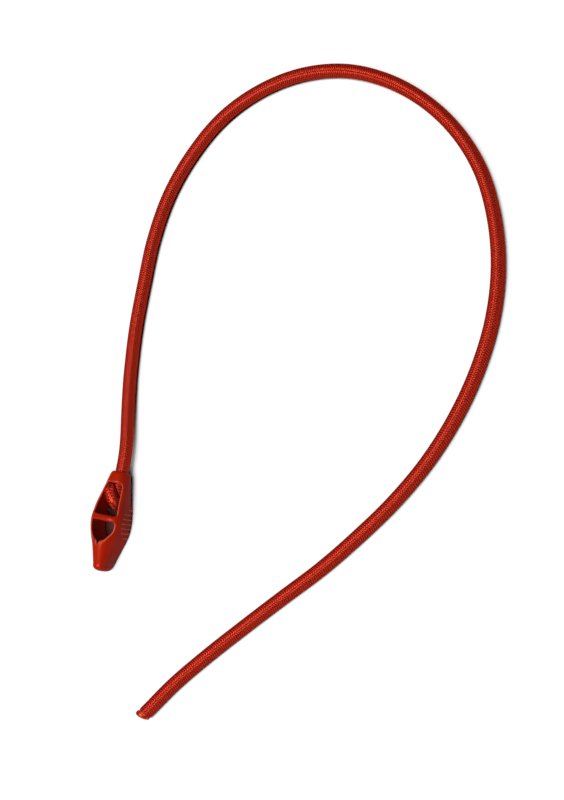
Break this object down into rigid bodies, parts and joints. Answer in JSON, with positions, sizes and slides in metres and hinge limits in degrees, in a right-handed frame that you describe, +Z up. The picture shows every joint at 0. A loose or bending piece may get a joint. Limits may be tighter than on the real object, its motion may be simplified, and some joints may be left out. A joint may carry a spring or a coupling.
{
  "type": "bungee cord",
  "caption": "Red braided elastic cord, knotted inside a ribbed plastic hook with a knot chamber and a notched cleat window; its free end is cut and heat sealed.",
  "frame": {"origin": "under the middle of the hook, on the flat of its back, where the hook lies on the floor", "axes": "+Z up, out of the hook's front; +Y along the hook's middle towards its neck and the cord; +X to the right of the hook seen from the front with the neck at the top"},
  "size_m": [0.1749, 0.2938, 0.0133],
  "materials": {
    "red_plastic": "moulded, satin, solid colour",
    "red_braid": "tight braid of bulky polyester yarn",
    "melted_braid": "yarn melted together by heat",
    "natural_rubber": "matte, uncoloured"
  },
  "bodies": {
    "cord": {"braided_sheath": "red_braid", "rubber_thread_inner_1": "natural_rubber", "rubber_thread_inner_2": "natural_rubber", "rubber_thread_inner_3": "natural_rubber", "rubber_thread_inner_4": "natural_rubber", "rubber_thread_outer_1": "natural_rubber", "rubber_thread_outer_2": "natural_rubber", "rubber_thread_outer_3": "natural_rubber", "rubber_thread_outer_4": "natural_rubber", "rubber_thread_outer_5": "natural_rubber", "rubber_thread_outer_6": "natural_rubber", "rubber_thread_outer_7": "natural_rubber", "rubber_thread_outer_8": "natural_rubber", "rubber_thread_outer_9": "natural_rubber", "rubber_thread_outer_10": "natural_rubber", "rubber_thread_outer_11": "natural_rubber", "rubber_thread_outer_12": "natural_rubber"},
    "knot": {"stopper_knot": "red_braid"},
    "hook": {"hook_body": "red_plastic"},
    "free_end": {"sealed_tip": "melted_braid"}
  },
  "joints": [
    {"name": "neck_twist", "type": "hinge", "parent": "cord", "child": "knot", "pos_m": [0, 0.0169, 0.0049], "axis": [0, 1, 0], "range_deg": [-180, 180], "stiffness_Nm_per_rad": 0.0006},
    {"name": "knot_slip", "type": "slide", "parent": "knot", "child": "hook", "axis": [0, 1, 0], "range_m": [0, 0.0025]},
    {"name": "cord_stretch", "type": "slide", "parent": "cord", "child": "free_end", "axis": [-0.65, -0.76, 0], "range_m": [0, 0.1], "stiffness_N_per_m": 250, "deforming": ["braided_sheath", "rubber_thread_inner_1", "rubber_thread_inner_2", "rubber_thread_inner_3", "rubber_thread_inner_4", "rubber_thread_outer_1", "rubber_thread_outer_2", "rubber_thread_outer_3", "rubber_thread_outer_4", "rubber_thread_outer_5", "rubber_thread_outer_6", "rubber_thread_outer_7", "rubber_thread_outer_8", "rubber_thread_outer_9", "rubber_thread_outer_10", "rubber_thread_outer_11", "rubber_thread_outer_12"]}
  ]
}
